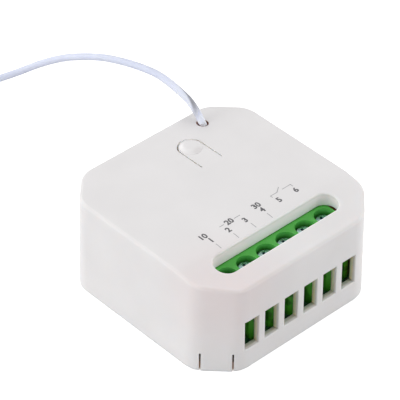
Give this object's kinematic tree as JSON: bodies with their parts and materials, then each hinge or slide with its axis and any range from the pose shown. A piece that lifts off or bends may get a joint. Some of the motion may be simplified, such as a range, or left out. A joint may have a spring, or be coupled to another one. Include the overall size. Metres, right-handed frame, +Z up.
{
  "type": "smart receiver module",
  "caption": "Small square in-wall radio receiver box with a front strip of screw terminals, a tongue button in its roof and a loose wire antenna.",
  "frame": {"origin": "middle of the underside", "axes": "+Z up, -Y out of the front with the wire windows, +X to the right seen from the front"},
  "size_m": [0.045, 0.1049, 0.0284],
  "materials": {
    "housing_white": "fine satin moulded",
    "terminal_green": "smooth moulded",
    "zinc_steel": "zinc plated",
    "tinned_brass": "tinned",
    "board_green": "solder resist",
    "black_plastic": "moulded",
    "relay_blue": "moulded",
    "film_red": "dipped",
    "varistor_blue": "dipped",
    "resistor_grey": "coated",
    "can_sleeve": "shrink sleeve",
    "crystal_can": "nickel plated",
    "wire_white": "smooth insulation"
  },
  "bodies": {
    "module": {"upper_housing": "housing_white", "base_cover": "housing_white", "terminal_block": "terminal_green", "terminal_contacts": "tinned_brass", "circuit_board": "board_green", "radio_board": "board_green", "tact_switch_body": "black_plastic", "relay": "relay_blue", "film_capacitor": "film_red", "varistor": "varistor_blue", "fuse_resistor": "resistor_grey", "main_capacitor": "can_sleeve", "output_capacitor": "can_sleeve", "filter_inductor": "black_plastic", "bridge_rectifier": "black_plastic", "flyback_diode": "black_plastic", "relay_transistor": "black_plastic", "converter_chip": "black_plastic", "controller_chip": "black_plastic", "radio_chip": "black_plastic", "radio_crystal": "crystal_can", "radio_header": "black_plastic", "antenna_lead": "wire_white", "antenna_wire": "wire_white"},
    "button": {"button_tab": "housing_white"},
    "plunger": {"tact_plunger": "black_plastic"},
    "screw_1": {"terminal_screw_1": "zinc_steel"},
    "cage_1": {"terminal_cage_1": "zinc_steel"},
    "screw_2": {"terminal_screw_2": "zinc_steel"},
    "cage_2": {"terminal_cage_2": "zinc_steel"},
    "screw_3": {"terminal_screw_3": "zinc_steel"},
    "cage_3": {"terminal_cage_3": "zinc_steel"},
    "screw_4": {"terminal_screw_4": "zinc_steel"},
    "cage_4": {"terminal_cage_4": "zinc_steel"},
    "screw_5": {"terminal_screw_5": "zinc_steel"},
    "cage_5": {"terminal_cage_5": "zinc_steel"},
    "screw_6": {"terminal_screw_6": "zinc_steel"},
    "cage_6": {"terminal_cage_6": "zinc_steel"}
  },
  "joints": [
    {"name": "plunger_press", "type": "slide", "parent": "module", "child": "plunger", "axis": [0, 0, -1], "range_m": [0, 0.00034], "stiffness_N_per_m": 3000, "springref_m": -0.0001},
    {"name": "button_press", "type": "hinge", "parent": "module", "child": "button", "pos_m": [0.0047, 0.0079, 0.0196], "axis": [-1, 0, 0], "range_deg": [0, 3.4]},
    {"name": "cage_1_rise", "type": "slide", "parent": "module", "child": "cage_1", "axis": [0, 0, 1], "range_m": [0, 0.0028]},
    {"name": "screw_1_turn", "type": "hinge", "parent": "module", "child": "screw_1", "pos_m": [-0.01316, -0.01534, 0.0147], "axis": [0, 0, -1], "range_deg": [0, 2020]},
    {"name": "cage_2_rise", "type": "slide", "parent": "module", "child": "cage_2", "axis": [0, 0, 1], "range_m": [0, 0.0028]},
    {"name": "screw_2_turn", "type": "hinge", "parent": "module", "child": "screw_2", "pos_m": [-0.00808, -0.01534, 0.0147], "axis": [0, 0, -1], "range_deg": [0, 2020]},
    {"name": "cage_3_rise", "type": "slide", "parent": "module", "child": "cage_3", "axis": [0, 0, 1], "range_m": [0, 0.0028]},
    {"name": "screw_3_turn", "type": "hinge", "parent": "module", "child": "screw_3", "pos_m": [-0.003, -0.01534, 0.0147], "axis": [0, 0, -1], "range_deg": [0, 2020]},
    {"name": "cage_4_rise", "type": "slide", "parent": "module", "child": "cage_4", "axis": [0, 0, 1], "range_m": [0, 0.0028]},
    {"name": "screw_4_turn", "type": "hinge", "parent": "module", "child": "screw_4", "pos_m": [0.00208, -0.01534, 0.0147], "axis": [0, 0, -1], "range_deg": [0, 2020]},
    {"name": "cage_5_rise", "type": "slide", "parent": "module", "child": "cage_5", "axis": [0, 0, 1], "range_m": [0, 0.0028]},
    {"name": "screw_5_turn", "type": "hinge", "parent": "module", "child": "screw_5", "pos_m": [0.00716, -0.01534, 0.0147], "axis": [0, 0, -1], "range_deg": [0, 2020]},
    {"name": "cage_6_rise", "type": "slide", "parent": "module", "child": "cage_6", "axis": [0, 0, 1], "range_m": [0, 0.0028]},
    {"name": "screw_6_turn", "type": "hinge", "parent": "module", "child": "screw_6", "pos_m": [0.01224, -0.01534, 0.0147], "axis": [0, 0, -1], "range_deg": [0, 2020]}
  ],
  "couplings": [
    {"joint": "button_press", "follows": "plunger_press", "rad_per_m": 166.67},
    {"joint": "screw_1_turn", "follows": "cage_1_rise", "rad_per_m": 12566},
    {"joint": "screw_2_turn", "follows": "cage_2_rise", "rad_per_m": 12566},
    {"joint": "screw_3_turn", "follows": "cage_3_rise", "rad_per_m": 12566},
    {"joint": "screw_4_turn", "follows": "cage_4_rise", "rad_per_m": 12566},
    {"joint": "screw_5_turn", "follows": "cage_5_rise", "rad_per_m": 12566},
    {"joint": "screw_6_turn", "follows": "cage_6_rise", "rad_per_m": 12566}
  ]
}
